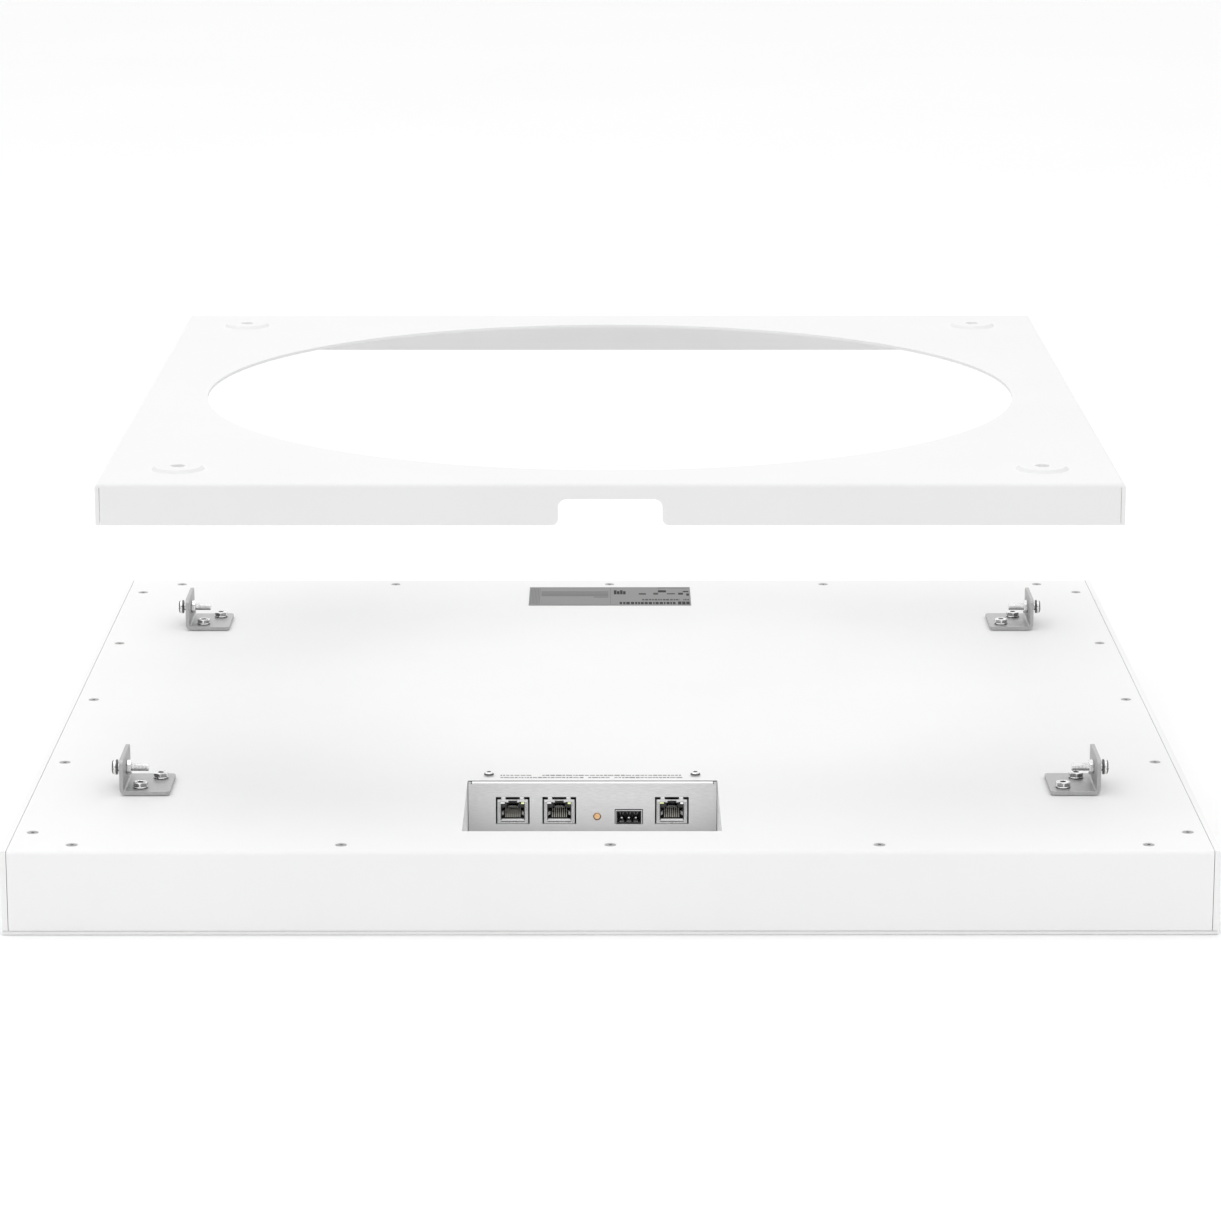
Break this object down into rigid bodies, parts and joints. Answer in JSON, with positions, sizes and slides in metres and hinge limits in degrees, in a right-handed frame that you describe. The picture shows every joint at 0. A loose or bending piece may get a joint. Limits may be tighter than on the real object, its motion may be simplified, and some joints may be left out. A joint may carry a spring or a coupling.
{
  "type": "flat ceiling tile unit",
  "caption": "Flat square ceiling tile unit with a rear connector pocket, angle brackets and a lift-off square mounting frame with a round opening.",
  "frame": {"origin": "centre of the room-side face, on the plane that the tile lies on", "axes": "+Z from the room side to the rear side, -Y towards the connector pocket's open edge, +X to the right seen from there"},
  "size_m": [0.587, 0.587, 0.2144],
  "materials": {
    "cover_white": "fine white powder coat",
    "frame_white": "fine white powder coat",
    "chassis_white": "white powder coat",
    "grille_white": "white powder coat",
    "cloth_dark": "open-weave acoustic cloth",
    "light_pipe": "clear, frosted",
    "circuit_board": "solder-masked board",
    "label_grey": "matt printed label",
    "plate_aluminium": "satin, grained",
    "screw_grey": "grey zinc",
    "screw_steel": "bright zinc",
    "bracket_zinc": "dull zinc",
    "jack_shield": "tinned sheet",
    "black_plastic": "moulded black",
    "orange_plastic": "translucent orange"
  },
  "bodies": {
    "tile": {"rear_cover": "cover_white", "chassis": "chassis_white", "grille": "grille_white", "acoustic_cloth": "cloth_dark", "status_light": "light_pipe", "array_board": "circuit_board", "main_board": "circuit_board", "type_label": "label_grey", "perimeter_screw_01": "screw_grey", "perimeter_screw_02": "screw_grey", "perimeter_screw_03": "screw_grey", "perimeter_screw_04": "screw_grey", "perimeter_screw_05": "screw_grey", "perimeter_screw_06": "screw_grey", "perimeter_screw_07": "screw_grey", "perimeter_screw_08": "screw_grey", "perimeter_screw_09": "screw_grey", "perimeter_screw_10": "screw_grey", "perimeter_screw_11": "screw_grey", "perimeter_screw_12": "screw_grey", "perimeter_screw_13": "screw_grey", "perimeter_screw_14": "screw_grey", "perimeter_screw_15": "screw_grey", "perimeter_screw_16": "screw_grey", "perimeter_screw_17": "screw_grey", "perimeter_screw_18": "screw_grey", "perimeter_screw_19": "screw_grey", "perimeter_screw_20": "screw_grey", "connector_pocket": "cover_white", "connector_plate": "plate_aluminium", "plate_screw_left": "screw_steel", "plate_screw_right": "screw_steel", "network_jack_1": "jack_shield", "network_jack_2": "jack_shield", "network_jack_3": "jack_shield", "terminal_header": "black_plastic", "reset_switch": "black_plastic", "io_board": "circuit_board", "bracket_1": "bracket_zinc", "bracket_2": "bracket_zinc", "bracket_3": "bracket_zinc", "bracket_4": "bracket_zinc", "hex_screw_1": "screw_steel", "hex_screw_2": "screw_steel", "hex_screw_3": "screw_steel", "hex_screw_4": "screw_steel", "hex_screw_5": "screw_steel", "hex_screw_6": "screw_steel", "hex_screw_7": "screw_steel", "hex_screw_8": "screw_steel", "side_screw_1": "screw_steel", "side_screw_2": "screw_steel", "side_screw_3": "screw_steel", "side_screw_4": "screw_steel", "side_nut_1": "screw_steel", "side_nut_2": "screw_steel", "side_nut_3": "screw_steel", "side_nut_4": "screw_steel"},
    "mounting_frame": {"mounting_frame": "frame_white"},
    "reset_button": {"reset_button": "orange_plastic"}
  },
  "joints": [
    {"name": "frame_lift", "type": "slide", "parent": "tile", "child": "mounting_frame", "axis": [0, 0, 1], "range_m": [-0.15, 0]},
    {"name": "reset_press", "type": "slide", "parent": "tile", "child": "reset_button", "axis": [0, 1, 0], "range_m": [0, 0.0005], "stiffness_N_per_m": 500}
  ]
}
